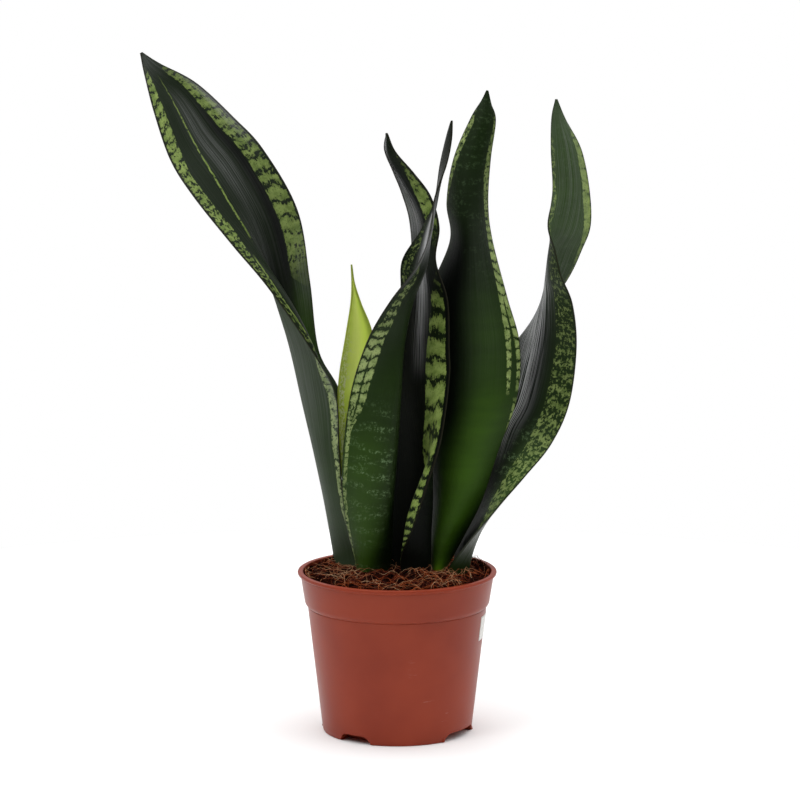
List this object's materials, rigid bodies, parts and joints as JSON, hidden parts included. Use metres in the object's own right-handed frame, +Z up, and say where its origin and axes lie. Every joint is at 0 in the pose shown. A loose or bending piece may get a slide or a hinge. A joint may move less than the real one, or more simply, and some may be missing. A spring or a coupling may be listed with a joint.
{
  "type": "potted snake plant",
  "caption": "Snake plant with stiff, channelled and twisted mottled leaves in a tapered plastic nursery pot of coir mix.",
  "frame": {"origin": "middle of the pot's flat underside, on the surface that the pot stands on", "axes": "+Z up along the pot's axis, +X to the right and -Y to the front, as seen in the picture"},
  "size_m": [0.2716, 0.12, 0.4055],
  "materials": {
    "pot_plastic": "satin",
    "potting_mix": "matte",
    "rhizome_skin": "matte",
    "leaf": "satin",
    "young_leaf": "satin",
    "label_paper": "satin"
  },
  "bodies": {
    "root": {"pot": "pot_plastic", "potting_soil": "potting_mix", "rhizome": "rhizome_skin", "leaf_long_left": "leaf", "leaf_young": "young_leaf", "leaf_front": "leaf", "leaf_centre": "leaf", "leaf_tall": "leaf", "leaf_right": "leaf", "blank_label": "label_paper"}
  },
  "joints": []
}
